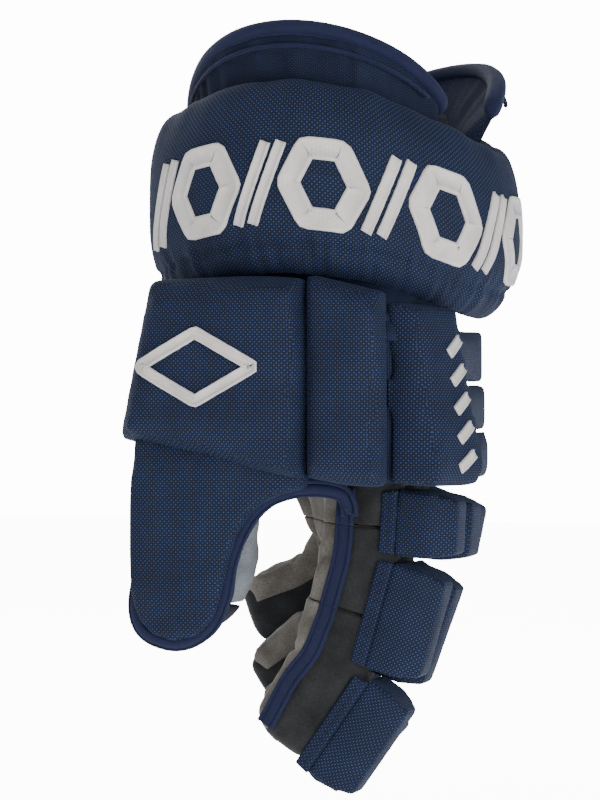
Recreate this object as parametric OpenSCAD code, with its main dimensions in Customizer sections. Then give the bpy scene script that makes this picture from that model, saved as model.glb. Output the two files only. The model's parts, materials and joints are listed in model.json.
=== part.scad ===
/* [Cuff] */
// Outer width of the cuff roll, palm side to back of hand
cuff_w = 165; // [160:1:168]
// Outer depth of the cuff roll, thumb side to little side
cuff_d = 158; // [152:1:162]
// Height of the cuff roll
cuff_h = 78; // [74:1:79]
// Thickness of the padding in the cuff roll
cuff_t = 20; // [16:1:22]
// Opening left in the cuff on the palm side, in degrees
cuff_gap = 56; // [50:1:80]
// How far the inner cuff flaps stand above the cuff roll
flap_rise = 37; // [32:1:40]

/* [Hand] */
// Level of the top of the hand part below the wrist opening
hand_top = 88; // [88:1:92]
// Level of the knuckles below the wrist opening
knuckle_z = 173; // [172:1:174]
// Thickness of the hand shell
shell_t = 3; // [2:0.5:4]
// Number of rolls across the back of the hand
back_rolls = 3; // [2:1:3]

/* [Fingers] */
// Width of one finger sleeve
finger_w = 24.5; // [23:0.5:24.5]
// Depth of a finger sleeve
finger_d = 26; // [25:0.5:27]
// Thickness of a finger sleeve's wall
finger_wall = 2.2; // [1.8:0.1:3]
// Depth of a finger pad
pad_d = 27; // [22:1:28]

/* [Thumb] */
// Length of the thumb below its joint
thumb_len = 87; // [80:1:90]
// Width of the thumb
thumb_w = 54; // [50:1:56]

/* [Hidden] */
$fn = 32;

navy = "#1f2f55";
dark_navy = "#182545";
suede_grey = "#6f716f";
suede_black = "#23242a";
thread_white = "#d8d8d4";
insert_white = "#e8e8e4";

// Fingers: [y of the middle, x and z of the knuckle, three rest angles, three lengths]
INDEX = [-41, 26, -knuckle_z - 2, [4, 16, 35], [27, 46, 44]];
MIDDLE = [-14, 26, -knuckle_z - 3, [6, 20, 46], [27, 49, 42]];
RING = [13, 23, -knuckle_z - 1, [12, 32, 55], [26, 45, 40]];
LITTLE = [40, 16, -knuckle_z + 3, [22, 48, 70], [25, 36, 35]];
finger_front = 8;      // palm side of a sleeve, measured from the joint axis
joint_gap = 0.6;       // space between two sleeves at a joint axis
palm_notch = 0.72;     // slope of the relief cut on the palm side of a joint
pad_gap = 0.4;         // space between a pad and its sleeve
side_y = -66;          // inner face of the rolls on the thumb side
little_y = 57;         // outer face of the shell on the little side
thumb_axis = [-39, -66, -153];
cuff_a = cuff_w / 2;
cuff_b = cuff_d / 2;
back_drop = 26;        // how much lower the cuff's top is at the back of the hand
heel_drop = 18;        // and at the heel of the hand
flap_t = 8;
flap_a = cuff_a - cuff_t - 1;
flap_b = cuff_b - cuff_t - 1;
flap_bottom = -66;

// ---------- shared shapes ----------

// A closed solid through rings that all have the same number of points.
module loft(rings) {
  n = len(rings);
  m = len(rings[0]);
  points = [for (ring = rings) each ring];
  walls = [for (i = [0 : n - 2], j = [0 : m - 1])
    let (a = i * m + j, b = i * m + (j + 1) % m, c = a + m, d = b + m)
    each [[a, b, d], [a, d, c]]];
  first = [for (j = [m - 1 : -1 : 0]) j];
  last = [for (j = [0 : m - 1]) (n - 1) * m + j];
  polyhedron(points = points, faces = concat([first], walls, [last]), convexity = 6);
}

function mean_of(pts) = [for (k = [0, 1]) [for (p = pts) p[k]] * [for (p = pts) 1] / len(pts)];
function shrink(pts, d) =
  let (c = mean_of(pts))
  [for (p = pts) let (v = p - c) c + v * max(0.1, 1 - d / norm(v))];

// A pad: an outline in XZ raised along Y from level a to level b, with a bevelled top.
module pad(outline, a, b, bevel) {
  levels = [[a, 0], [b + (a - b) * 0.38, 0], [b, bevel]];
  loft([for (lv = levels) [for (p = shrink(outline, lv[1])) [p[0], lv[0], p[1]]]]);
}

// A rectangle with its four corners cut off.
function chamfered(x0, x1, y0, y1, c) = [
  [x0 + c, y0], [x1 - c, y0], [x1, y0 + c], [x1, y1 - c],
  [x1 - c, y1], [x0 + c, y1], [x0, y1 - c], [x0, y0 + c]];

// ---------- cuff ----------

function on_cuff(phi, a, b, z) = [a * cos(phi), b * sin(phi), z];

// Top and bottom of the cuff roll, which drops towards the back of the hand.
function roll_top(phi) = -(cos(phi) > 0 ? back_drop : heel_drop) * pow(cos(phi), 2);
function roll_bottom(phi) = roll_top(phi) * 0.7 - cuff_h;

cuff_from = -180 + cuff_gap / 2;
cuff_to = -cuff_from;
cuff_steps = 26;
function cuff_phi(i) = cuff_from + (cuff_to - cuff_from) * i / cuff_steps;

module cuff_roll() {
  color(navy) loft([for (i = [0 : cuff_steps])
    let (phi = cuff_phi(i), lo = roll_bottom(phi), hi = roll_top(phi),
         section = [[cuff_t, lo + 9], [cuff_t - 5, lo + 1], [9, lo], [9, hi],
                    [cuff_t - 7, hi], [cuff_t - 2, hi - 8]])
    [for (s = section) on_cuff(phi, cuff_a - cuff_t + s[0], cuff_b - cuff_t + s[0], s[1])]]);
}

// Plastic plate behind the padding of the cuff roll.
module cuff_insert() {
  steps = 16;
  color(insert_white) loft([for (i = [0 : steps])
    let (phi = -140 + 280 * i / steps, lo = roll_bottom(phi) + 12, hi = roll_top(phi) - 10,
         section = [[8.6, lo], [8.6, hi], [6.6, hi], [6.6, lo]])
    [for (s = section) on_cuff(phi, cuff_a - cuff_t + s[0], cuff_b - cuff_t + s[0], s[1])]]);
}

// Top edge of an inner cuff flap, from 0 at one end to 1 at the other.
function flap_top(s, rise) = -12 + rise * pow(sin(180 * pow(s, 0.9)), 0.7);

module inner_flap(from, to, rise, lean) {
  steps = 18;
  loft([for (i = [0 : steps])
    let (s = i / steps, phi = from + (to - from) * s, hi = flap_top(s, rise),
         section = [[0, flap_bottom], [0, -30], [lean, hi], [lean - flap_t, hi], [-flap_t, -30],
                    [-flap_t, flap_bottom]])
    [for (p = section) on_cuff(phi, flap_a + p[0], flap_b + p[0], p[1])]]);
}

// Corded edge tape that sits on top of a flap.
module flap_edge(from, to, rise, lean) {
  steps = 18;
  section = [[1, 0.5], [1.5, 3.5], [-1, 6], [-7, 6], [-9.5, 3.5], [-9, 0.5]];
  loft([for (i = [0 : steps])
    let (s = i / steps, phi = from + (to - from) * s, hi = flap_top(s, rise))
    [for (p = section) on_cuff(phi, flap_a + lean + p[0], flap_b + lean + p[0], hi + p[1])]]);
}

thumb_flap = [-155, -24, flap_rise, 4];
little_flap = [6, 150, flap_rise - 6, 8];
module inner_cuff_thumb_flap() {
  color(navy) inner_flap(thumb_flap[0], thumb_flap[1], thumb_flap[2], thumb_flap[3]);
}
module inner_cuff_little_flap() {
  color(navy) inner_flap(little_flap[0], little_flap[1], little_flap[2], little_flap[3]);
}
module flap_binding_thumb() {
  color(dark_navy) flap_edge(thumb_flap[0], thumb_flap[1], thumb_flap[2], thumb_flap[3]);
}
module flap_binding_little() {
  color(dark_navy) flap_edge(little_flap[0], little_flap[1], little_flap[2], little_flap[3]);
}

// Raised thread motif on the cuff roll, laid round it: outlined hexagons, each sewn as two halves,
// with leaning bars between them. A motif point is [distance round the cuff, height].
motif_turn = 38.5;
function on_motif(at, p, h) =
  let (phi = at + p[0] / cuff_a * 57.3)
  on_cuff(phi, cuff_a + 0.3 + h, cuff_b + 0.3 + h, roll_top(phi) * 0.85 - 43 + p[1]);
function motif_ring(at, inner, outer) = [
  on_motif(at, inner, 0), on_motif(at, outer, 0), on_motif(at, outer, 1), on_motif(at, inner, 1)];
hexagon_half = [[0.6, 16.6], [8, 16.6], [11.4, 11], [15.2, 5], [18.4, 0], [15.2, -5], [11.4, -11],
                [8, -16.6], [0.6, -16.6]];

module cuff_embroidery() {
  n = len(hexagon_half) - 1;
  for (k = [-1 : 4]) {
    at = -115 + motif_turn * k;
    if (k >= 0) color(thread_white) for (way = [1, -1])
      loft([for (i = way > 0 ? [n : -1 : 0] : [0 : n])
        let (p = hexagon_half[i], q = [way * p[0], p[1]])
        motif_ring(at, [q[0] * (abs(p[1]) > 16 ? 0.8 : 0.5), q[1] * 0.5], q)]);
    color(thread_white) loft([for (i = [0 : 5])
      let (t = i / 5, lean = -6 + 12 * t, up = -17 + 34 * t)
      motif_ring(at + motif_turn / 2, [lean - 3.4, up], [lean + 3.4, up])]);
  }
}

// Soft lining ring between the two flaps and the wearer's wrist.
module wrist_liner() {
  a = flap_a - flap_t - 0.2;
  b = flap_b - flap_t - 0.2;
  n = 28;
  color(suede_black) translate([0, 0, flap_bottom]) linear_extrude(56) difference() {
    polygon([for (i = [0 : n - 1]) [a * cos(i * 360 / n), b * sin(i * 360 / n)]]);
    polygon([for (i = [0 : n - 1]) [(a - 2) * cos(i * 360 / n), (b - 2) * sin(i * 360 / n)]]);
  }
}

// ---------- hand ----------

// Outline of the hand cavity seen from the wrist, with the base of the thumb bulging to the palm.
hand_outline = [
  [50, -56], [52, -20], [48, 20], [40, 57], [-18, 57], [-20, 10], [-22, -12],
  [-62, -22], [-65, -64], [44, -64]];
function inset_outline(d) = [
  [50 - d, -56], [52 - d, -20], [48 - d, 20], [40 - d, 57 - d], [-18 + d, 57 - d],
  [-20 + d, 10], [-22 + d, -12 - d], [-62 + d, -22 - d], [-65 + d, -64 + d], [44 - d, -64 + d]];
hand_bottom = 2 - knuckle_z;
hand_len = -hand_bottom - hand_top;
palm_split = 10;

module hand_wall() {
  difference() {
    translate([0, 0, hand_bottom]) linear_extrude(hand_len) difference() {
      polygon(hand_outline);
      polygon(inset_outline(shell_t));
    }
    wrist_relief();
  }
}

// The top of the hand part slopes down to both sides, which leaves room for the wrist to bend.
module wrist_relief() {
  rotate([90, 0, 0]) translate([0, 0, -100]) linear_extrude(200)
    polygon([[-100, -hand_top - 17], [-8, -hand_top], [10, -hand_top], [110, -hand_top - 28],
             [110, 0], [-100, 0]]);
}

// Room left under the base of the thumb so that the thumb can swing.
module thumb_relief() {
  translate([-90, -90, -knuckle_z - 10]) cube([110, 78, 30]);
}

module palm_side() {
  translate([-100, -61, -knuckle_z - 20]) cube([100 + palm_split, 140, 160]);
}

module back_shell() {
  color(navy) difference() {
    hand_wall();
    palm_side();
    thumb_relief();
  }
}

module palm() {
  color(suede_grey) difference() {
    intersection() { hand_wall(); palm_side(); }
    thumb_relief();
    // the lower edge of the palm stays clear of the bending fingers
    translate([-60, -20, -knuckle_z - 10]) cube([70, 90, 24]);
  }
}

// Second layer of suede over the heel of the palm.
module palm_overlay() {
  color(suede_grey) translate([-21.6, 12, -156])
    rotate([0, -90, 0]) linear_extrude(1.6)
      polygon(chamfered(0, 52, 0, 42, 12));
}

// Plastic plate between the back shell and the rolls.
module back_insert() {
  pts = [[50.6, -50], [52.4, -20], [48.4, 20], [43.2, 44]];
  color(insert_white) translate([0, 0, hand_bottom + 8]) linear_extrude(hand_len - 26)
    polygon(concat(pts, [for (i = [3 : -1 : 0]) pts[i] + [1.6, 0]]));
}

module thumb_side_roll() {
  color(navy) pad([[-70, -150], [-28, -159], [11, -167], [11, -130], [11, -90], [-8, -89], [-57, -96]],
    side_y, -90, 6);
}

module web_roll() {
  color(navy) pad([[12, -168], [28, -171], [44.5, -172], [44.5, -130], [44, -98], [12, -90]],
    side_y, -83, 7);
}

// Long roll over the index finger's side of the back, with two flat facets.
module index_side_roll() {
  low = [[45, -65], [63, -64], [76, -36], [55, -36], [54, -52], [50.6, -58]];
  high = [for (p = low) [p[0] - 4 * (p[0] - 40) / 38, p[1] + 1]];
  color(navy) loft([
    [for (p = low) [p[0] - (p[0] > 60 ? 4 : 0), p[1], hand_bottom]],
    [for (p = low) [p[0], p[1], hand_bottom + 8]],
    [for (p = high) [p[0], p[1], -hand_top - 14 - (p[0] > 60 ? 4 : 0)]]]);
}

module little_side_roll() {
  color(navy) pad([[-14, -164], [38, -169], [36, -98], [-10, -96]], little_y + 0.3, little_y + 20, 7);
}

rolls_top = -hand_top - 18;
roll_pitch = (rolls_top - hand_bottom) / back_rolls;
// Heights of a back roll's underside and crown, which both fall towards the little side.
function roll_base(y) = 55.5 - (y + 35) * 0.054;
function roll_crown(y) = 74 - (y + 35) * 0.11;

// One roll across the back of the hand.
module back_roll(k) {
  top = rolls_top - k * roll_pitch;
  h = roll_pitch - 0.6;
  if (k < back_rolls)
    color(navy) loft([for (s = [[0, 1, 0], [0.55, 0, 0], [1, 5, 3]])
      let (e = s[1], g = s[2])
      [for (c = [[-35 + g, -e], [0, -e], [48 - g, -e], [48 - g, -h + e], [0, -h + e], [-35 + g, -h + e]])
        [roll_base(c[0]) * (1 - s[0]) + (roll_crown(c[0]) + k) * s[0], c[0], top + c[1]]]]);
}

module back_roll_1() { back_roll(0); }
module back_roll_2() { back_roll(1); }
module back_roll_3() { back_roll(2); }

// Stitched outline emblem on the thumb side roll.
module side_emblem() {
  color(thread_white) translate([-33, -90.1, -122]) rotate([90, 0, 0]) linear_extrude(1)
    difference() {
      polygon([[-24, 0], [0, 13], [24, 0], [0, -13]]);
      polygon([[-15, 0], [0, 8.2], [15, 0], [0, -8.2]]);
    }
}

// Thread bars on the index side roll.
module side_stripe() {
  for (k = [0 : 3])
    color(thread_white) translate([71.6, -48, -162 + k * 13.5]) rotate([0, -2.6, -24.9])
      translate([0.9, -4, 0]) cube([0.8, 9, 9]);
}

// ---------- thumb ----------

// Outline of the thumb seen from its back, from the joint to the rounded end.
function thumb_half(t) = thumb_w / 2 * (t < 0.62 ? 1 : sqrt(max(0, 1 - pow((t - 0.62) / 0.38, 2))));
thumb_levels = [0, 0.25, 0.62, 0.78, 0.9, 0.975];
function thumb_outline(d, top) = concat(
  [for (t = thumb_levels) [max(4, thumb_half(t) - d), -top - t * (thumb_len - top - d)]],
  [for (i = [len(thumb_levels) - 1 : -1 : 0])
    let (t = thumb_levels[i]) [-max(4, thumb_half(t) - d), -top - t * (thumb_len - top - d)]]);
function thumb_cut(p) = [p[0], min(p[1], -6 - 0.22 * (p[0] + thumb_w / 2))];

module thumb_pad() {
  outline = [for (p = thumb_outline(3, 2)) thumb_cut(p)];
  color(navy) translate(thumb_axis) rotate([90, 0, 0]) hull() {
    translate([0, 0, 12.9]) linear_extrude(5.5) polygon(outline);
    translate([0, 0, 21]) linear_extrude(1) polygon(shrink(outline, 7));
  }
}

module thumb_stay() {
  outline = [for (p = thumb_outline(9, 6)) thumb_cut(p)];
  color(insert_white) translate(thumb_axis + [0, -11.2, 0]) rotate([90, 0, 0]) linear_extrude(1.5)
    polygon(outline);
}

// The stall that the thumb goes into: a flat pocket, open at the top.
module thumb_sleeve() {
  outer = [for (p = thumb_outline(5, 4)) thumb_cut(p)];
  inner = [for (p = thumb_outline(8, 0)) p];
  color(suede_grey) translate(thumb_axis) difference() {
    translate([0, 11, 0]) rotate([90, 0, 0]) linear_extrude(22) polygon(outer);
    translate([0, 8.8, 0]) rotate([90, 0, 0]) linear_extrude(17.6)
      polygon([for (p = inner) [p[0], p[1] > -2 ? 5 : p[1]]]);
  }
}

// Edge tape around the thumb.
module thumb_binding() {
  outer = [for (p = thumb_outline(0, 2)) thumb_cut(p)];
  inner = [for (p = thumb_outline(4.6, 2)) thumb_cut(p)];
  color(dark_navy) translate(thumb_axis) difference() {
    translate([0, -4, 0]) rotate([90, 0, 0]) linear_extrude(6.5) polygon(outer);
    translate([0, -3, 0]) rotate([90, 0, 0]) linear_extrude(9)
      polygon([for (p = inner) [p[0], p[1] > -22 ? 2 : p[1]]]);
  }
}

// Edge tape round the arch between thumb and index finger.
module web_binding() {
  n = 12;
  color(dark_navy) loft([for (i = [0 : n])
    let (ang = 180 - 180 * i / n,
         c = [11 + 13 * cos(ang), -61, hand_bottom - 18 + 15.4 * sin(ang)],
         out = [cos(ang), 0, sin(ang)])
    [for (s = [[2.4, -2.8], [2.4, 2.8], [-2.4, 2.8], [-2.4, -2.8]]) c + out * s[0] + [0, s[1], 0]]]);
}

// ---------- fingers ----------

function turned(a, len) = [-len * sin(a), 0, -len * cos(a)];
function joint_at(f, k) =
  k == 0 ? [f[1], f[0], f[2]] : joint_at(f, k - 1) + turned(f[3][k - 1], f[4][k - 1]);

// Moves a segment drawn hanging straight down from the origin to its place in the finger.
module segment(f, k) {
  translate(joint_at(f, k)) rotate([0, f[3][k], 0]) children();
}

finger_back = finger_d - finger_front;

// Side view of a sleeve, with the relief cuts on the palm side. The last one has a closed end.
function sleeve_side(len, last) = let (n = palm_notch * finger_front, e = last ? len : len - joint_gap) [
  [-finger_front, -joint_gap - n], [0, -joint_gap], [finger_back, -joint_gap],
  [finger_back, -e], [last ? -4 : 0, -e], [-finger_front, last ? -e + 9 : -e + n]];
function hollow_side(len, last) = let (n = palm_notch * finger_front, w = finger_wall) [
  [-finger_front + w, 5 - n], [0, 5], [finger_back - w, 5],
  [finger_back - w, last ? -len + w : -len - 5], [last ? -4 : 0, last ? -len + w : -len - 5],
  [-finger_front + w, last ? -len + 10 : -len - 5]];

module sleeve(f, k) {
  w = finger_w;
  segment(f, k) color(suede_black) difference() {
    translate([0, w / 2, 0]) rotate([90, 0, 0]) linear_extrude(w)
      polygon(sleeve_side(f[4][k], k == 2));
    translate([0, w / 2 - finger_wall, 0]) rotate([90, 0, 0])
      linear_extrude(w - 2 * finger_wall) polygon(hollow_side(f[4][k], k == 2));
  }
}

// A finger pad: a block of foam on the back of the sleeve, bevelled on its outer edges.
module finger_pad(f, k) {
  len = f[4][k];
  lo = k == 2 ? len + 2 : len - 1;
  depth = pad_d - 2.5 * k;  // the pads get thinner towards the fingertip
  w = finger_w / 2 + 0.9;
  a = finger_back + pad_gap;
  rings = [[a, 0, 0.5], [a + depth * 0.55, 0, 0.5], [a + depth, 5, 3]];
  segment(f, k) color(navy) loft([for (r = rings)
    [[r[0], -w + r[1], -1 - r[2]], [r[0], w - r[1], -1 - r[2]],
     [r[0], w - r[1], -lo + r[2]], [r[0], -w + r[1], -lo + r[2]]]]);
}

module index_base_sleeve() { sleeve(INDEX, 0); }
module index_base_pad() { finger_pad(INDEX, 0); }
module index_middle_sleeve() { sleeve(INDEX, 1); }
module index_middle_pad() { finger_pad(INDEX, 1); }
module index_tip_sleeve() { sleeve(INDEX, 2); }
module index_tip_pad() { finger_pad(INDEX, 2); }
module middle_base_sleeve() { sleeve(MIDDLE, 0); }
module middle_base_pad() { finger_pad(MIDDLE, 0); }
module middle_middle_sleeve() { sleeve(MIDDLE, 1); }
module middle_middle_pad() { finger_pad(MIDDLE, 1); }
module middle_tip_sleeve() { sleeve(MIDDLE, 2); }
module middle_tip_pad() { finger_pad(MIDDLE, 2); }
module ring_base_sleeve() { sleeve(RING, 0); }
module ring_base_pad() { finger_pad(RING, 0); }
module ring_middle_sleeve() { sleeve(RING, 1); }
module ring_middle_pad() { finger_pad(RING, 1); }
module ring_tip_sleeve() { sleeve(RING, 2); }
module ring_tip_pad() { finger_pad(RING, 2); }
module little_base_sleeve() { sleeve(LITTLE, 0); }
module little_base_pad() { finger_pad(LITTLE, 0); }
module little_middle_sleeve() { sleeve(LITTLE, 1); }
module little_middle_pad() { finger_pad(LITTLE, 1); }
module little_tip_sleeve() { sleeve(LITTLE, 2); }
module little_tip_pad() { finger_pad(LITTLE, 2); }

// ---------- the glove ----------

cuff_roll();
cuff_insert();
inner_cuff_thumb_flap();
inner_cuff_little_flap();
flap_binding_thumb();
flap_binding_little();
cuff_embroidery();
wrist_liner();
back_shell();
palm();
palm_overlay();
back_insert();
thumb_side_roll();
web_roll();
index_side_roll();
little_side_roll();
back_roll_1();
back_roll_2();
back_roll_3();
side_emblem();
side_stripe();
web_binding();
thumb_pad();
thumb_stay();
thumb_sleeve();
thumb_binding();
index_base_sleeve();
index_base_pad();
index_middle_sleeve();
index_middle_pad();
index_tip_sleeve();
index_tip_pad();
middle_base_sleeve();
middle_base_pad();
middle_middle_sleeve();
middle_middle_pad();
middle_tip_sleeve();
middle_tip_pad();
ring_base_sleeve();
ring_base_pad();
ring_middle_sleeve();
ring_middle_pad();
ring_tip_sleeve();
ring_tip_pad();
little_base_sleeve();
little_base_pad();
little_middle_sleeve();
little_middle_pad();
little_tip_sleeve();
little_tip_pad();
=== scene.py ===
import bpy
import json
import math
import numpy as np
from mathutils import Matrix, Vector, noise
from mathutils.bvhtree import BVHTree


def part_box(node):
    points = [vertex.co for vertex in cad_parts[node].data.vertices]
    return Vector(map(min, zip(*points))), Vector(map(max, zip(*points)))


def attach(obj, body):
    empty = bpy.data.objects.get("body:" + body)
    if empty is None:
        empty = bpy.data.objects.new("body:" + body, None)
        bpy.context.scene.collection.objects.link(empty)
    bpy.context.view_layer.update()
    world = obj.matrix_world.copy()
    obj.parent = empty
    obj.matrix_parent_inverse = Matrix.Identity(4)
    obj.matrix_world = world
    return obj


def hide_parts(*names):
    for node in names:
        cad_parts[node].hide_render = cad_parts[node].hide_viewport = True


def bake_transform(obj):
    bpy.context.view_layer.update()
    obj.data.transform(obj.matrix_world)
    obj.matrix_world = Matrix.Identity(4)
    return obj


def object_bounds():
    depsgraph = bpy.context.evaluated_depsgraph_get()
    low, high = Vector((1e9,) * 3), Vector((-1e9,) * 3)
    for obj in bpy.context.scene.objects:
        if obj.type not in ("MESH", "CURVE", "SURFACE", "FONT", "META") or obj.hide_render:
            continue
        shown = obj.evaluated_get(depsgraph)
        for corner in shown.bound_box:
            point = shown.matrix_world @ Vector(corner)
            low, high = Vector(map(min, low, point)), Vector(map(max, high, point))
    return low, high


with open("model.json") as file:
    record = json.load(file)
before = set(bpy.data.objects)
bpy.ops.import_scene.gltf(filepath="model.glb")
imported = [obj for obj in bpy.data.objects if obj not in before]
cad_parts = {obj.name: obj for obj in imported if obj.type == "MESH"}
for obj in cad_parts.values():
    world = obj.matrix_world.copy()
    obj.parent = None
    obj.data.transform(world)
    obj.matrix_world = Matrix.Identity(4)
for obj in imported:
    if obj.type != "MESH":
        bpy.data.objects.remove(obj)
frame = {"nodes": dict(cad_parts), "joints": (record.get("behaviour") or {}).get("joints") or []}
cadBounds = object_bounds()
cadNodes = frame["nodes"]
jointAt = {joint["name"]: Vector(joint["pos_m"]) for joint in frame["joints"]}
mm = 0.001


def addNode(tree, kind, **values):
    node = tree.nodes.new(kind)
    for name, value in values.items():
        if name.startswith("in"):
            node.inputs[int(name[2:])].default_value = value
        else:
            setattr(node, name, value)
    return node


def link(tree, source, target):
    tree.links.new(source, target)


def mathNode(tree, operation, first, second=None):
    node = addNode(tree, "ShaderNodeMath", operation=operation)
    for index, value in enumerate((first, second)):
        if value is None:
            continue
        if isinstance(value, (int, float)):
            node.inputs[index].default_value = value
        else:
            link(tree, value, node.inputs[index])
    return node.outputs[0]


def newGroup(name, inputs, outputs):
    group = bpy.data.node_groups.new(name, "ShaderNodeTree")
    for label, kind, value in inputs:
        socket = group.interface.new_socket(name=label, in_out="INPUT", socket_type=kind)
        if value is not None:
            socket.default_value = value
    for label, kind in outputs:
        group.interface.new_socket(name=label, in_out="OUTPUT", socket_type=kind)
    start = group.nodes.new("NodeGroupInput")
    end = group.nodes.new("NodeGroupOutput")
    return group, start, end


def addNoise(group, start, end, output, scale, detail):
    cloud = addNode(group, "ShaderNodeTexNoise", noise_dimensions="3D")
    cloud.inputs["Scale"].default_value = scale
    cloud.inputs["Detail"].default_value = detail
    link(group, start.outputs["Vector"], cloud.inputs["Vector"])
    link(group, cloud.outputs[0], end.inputs[output])
    return cloud


def makeWeaveGroup():
    # crossing yarns: one set stands higher than the other
    group, start, end = newGroup(
        "wovenYarn",
        [("Vector", "NodeSocketVector", None), ("Pitch", "NodeSocketFloat", 0.001), ("Under", "NodeSocketFloat", 0.4)],
        [("Height", "NodeSocketFloat"), ("Patches", "NodeSocketFloat")])
    split = addNode(group, "ShaderNodeSeparateXYZ")
    link(group, start.outputs["Vector"], split.inputs[0])
    scale = mathNode(group, "DIVIDE", math.pi, start.outputs["Pitch"])
    across = mathNode(group, "SINE", mathNode(group, "MULTIPLY", split.outputs[0], scale))
    along = mathNode(group, "SINE", mathNode(group, "MULTIPLY", split.outputs[1], scale))
    both = mathNode(group, "MULTIPLY", across, along)
    lower = mathNode(group, "MULTIPLY", mathNode(group, "MULTIPLY", both, start.outputs["Under"]), -1.0)
    height = mathNode(group, "MAXIMUM", both, lower)
    link(group, height, end.inputs["Height"])
    addNoise(group, start, end, "Patches", 55.0, 4.0)
    return group


def makeNapGroup():
    # brushed suede: soft patches and a short fine nap
    group, start, end = newGroup(
        "suedeNap",
        [("Vector", "NodeSocketVector", None), ("Grain", "NodeSocketFloat", 1500.0)],
        [("Nap", "NodeSocketFloat"), ("Patches", "NodeSocketFloat")])
    fine = addNoise(group, start, end, "Nap", 1500.0, 3.0)
    link(group, start.outputs["Grain"], fine.inputs["Scale"])
    addNoise(group, start, end, "Patches", 70.0, 5.0)
    return group


weaveGroup = makeWeaveGroup()
napGroup = makeNapGroup()


def startMaterial(name, roughness, sheen, sheenTint):
    material = bpy.data.materials.new(name)
    material.use_nodes = True
    tree = material.node_tree
    shader = tree.nodes["Principled BSDF"]
    shader.inputs["Roughness"].default_value = roughness
    shader.inputs["Sheen Weight"].default_value = sheen
    shader.inputs["Sheen Roughness"].default_value = 0.4
    shader.inputs["Sheen Tint"].default_value = sheenTint
    shader.inputs["Specular IOR Level"].default_value = 0.16
    return material, tree, shader


def rampNode(tree, source, stops):
    ramp = tree.nodes.new("ShaderNodeValToRGB")
    while len(ramp.color_ramp.elements) < len(stops):
        ramp.color_ramp.elements.new(0.5)
    for element, (place, color) in zip(ramp.color_ramp.elements, stops):
        element.position = place
        element.color = (*color, 1.0)
    link(tree, source, ramp.inputs[0])
    return ramp.outputs[0]


def darken(tree, color, mask, low, high):
    # multiplies a colour by a soft mask, so that it isn't the same all over
    spread = addNode(tree, "ShaderNodeMapRange", in1=0.3, in2=0.7, in3=low, in4=high)
    link(tree, mask, spread.inputs[0])
    mix = addNode(tree, "ShaderNodeMix", data_type="RGBA", blend_type="MULTIPLY")
    mix.inputs["Factor"].default_value = 1.0
    link(tree, color, mix.inputs[6])
    link(tree, spread.outputs[0], mix.inputs[7])
    return mix.outputs[2]


def bumpNode(tree, height, strength, distance):
    bump = addNode(tree, "ShaderNodeBump")
    bump.inputs["Strength"].default_value = strength
    bump.inputs["Distance"].default_value = distance
    link(tree, height, bump.inputs["Height"])
    return bump.outputs[0]


def wovenMaterial(name, shadedGapColor, yarnColor, highlightTopColor, pitch=1.0 * mm, under=0.42, rough=0.75, sheen=0.04):
    material, tree, shader = startMaterial(name, rough, sheen, (0.45, 0.6, 1.0, 1.0))
    place = addNode(tree, "ShaderNodeUVMap", uv_map="cloth")
    weave = addNode(tree, "ShaderNodeGroup", node_tree=weaveGroup)
    weave.inputs["Pitch"].default_value = pitch
    weave.inputs["Under"].default_value = under
    link(tree, place.outputs[0], weave.inputs["Vector"])
    # painted shade and highlight: the gaps between yarns get a darker colour and the yarn crowns a lighter one, set by
    # the weave's height
    color = rampNode(tree, weave.outputs["Height"], [(0.0, shadedGapColor), (0.45, yarnColor), (1.0, highlightTopColor)])
    link(tree, darken(tree, color, weave.outputs["Patches"], 0.78, 1.12), shader.inputs["Base Color"])
    link(tree, bumpNode(tree, weave.outputs["Height"], 0.55, 0.35 * mm), shader.inputs["Normal"])
    return material


def suedeMaterial(name, darkColor, lightColor, grain=1500.0, sheen=0.35):
    material, tree, shader = startMaterial(name, 0.92, sheen, (0.9, 0.9, 0.88, 1.0))
    place = addNode(tree, "ShaderNodeTexCoord")
    nap = addNode(tree, "ShaderNodeGroup", node_tree=napGroup)
    nap.inputs["Grain"].default_value = grain
    link(tree, place.outputs["Object"], nap.inputs["Vector"])
    color = rampNode(tree, nap.outputs["Patches"], [(0.3, darkColor), (0.7, lightColor)])
    link(tree, darken(tree, color, nap.outputs["Nap"], 0.72, 1.2), shader.inputs["Base Color"])
    link(tree, bumpNode(tree, nap.outputs["Nap"], 0.5, 0.25 * mm), shader.inputs["Normal"])
    return material


# each cloth's colours: painted shade in the weave's gaps, the yarn's own colour, and a painted highlight on the yarn
# crowns
navyNylon = wovenMaterial("navyNylon", (0.0018, 0.0034, 0.0105), (0.0064, 0.0125, 0.037), (0.028, 0.052, 0.12))
softNylon = wovenMaterial("softNylon", (0.002, 0.0035, 0.011), (0.006, 0.0115, 0.033), (0.017, 0.032, 0.078),
                          pitch=0.75 * mm)
edgeTape = wovenMaterial("edgeTape", (0.0025, 0.004, 0.016), (0.006, 0.009, 0.036), (0.014, 0.022, 0.078),
                         pitch=0.5 * mm, under=0.8, rough=0.6, sheen=0.08)
liningCloth = wovenMaterial("liningCloth", (0.006, 0.006, 0.008), (0.014, 0.014, 0.017), (0.03, 0.03, 0.034),
                            pitch=0.9 * mm, under=0.9)
threadSilver = wovenMaterial("threadSilver", (0.33, 0.31, 0.29), (0.6, 0.58, 0.55), (0.86, 0.85, 0.83),
                             pitch=0.55 * mm, under=0.7, rough=0.42, sheen=0.3)
seamThread = wovenMaterial("seamThread", (0.006, 0.009, 0.026), (0.012, 0.018, 0.05), (0.03, 0.042, 0.1),
                           pitch=0.4 * mm)
blackSuede = suedeMaterial("blackSuede", (0.009, 0.01, 0.011), (0.021, 0.022, 0.024), sheen=0.12)
graySuede = suedeMaterial("graySuede", (0.07, 0.064, 0.057), (0.16, 0.148, 0.134), sheen=0.2)
paleSuede = suedeMaterial("paleSuede", (0.06, 0.068, 0.077), (0.14, 0.155, 0.17), sheen=0.15)
print("glove: materials ready")


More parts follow.
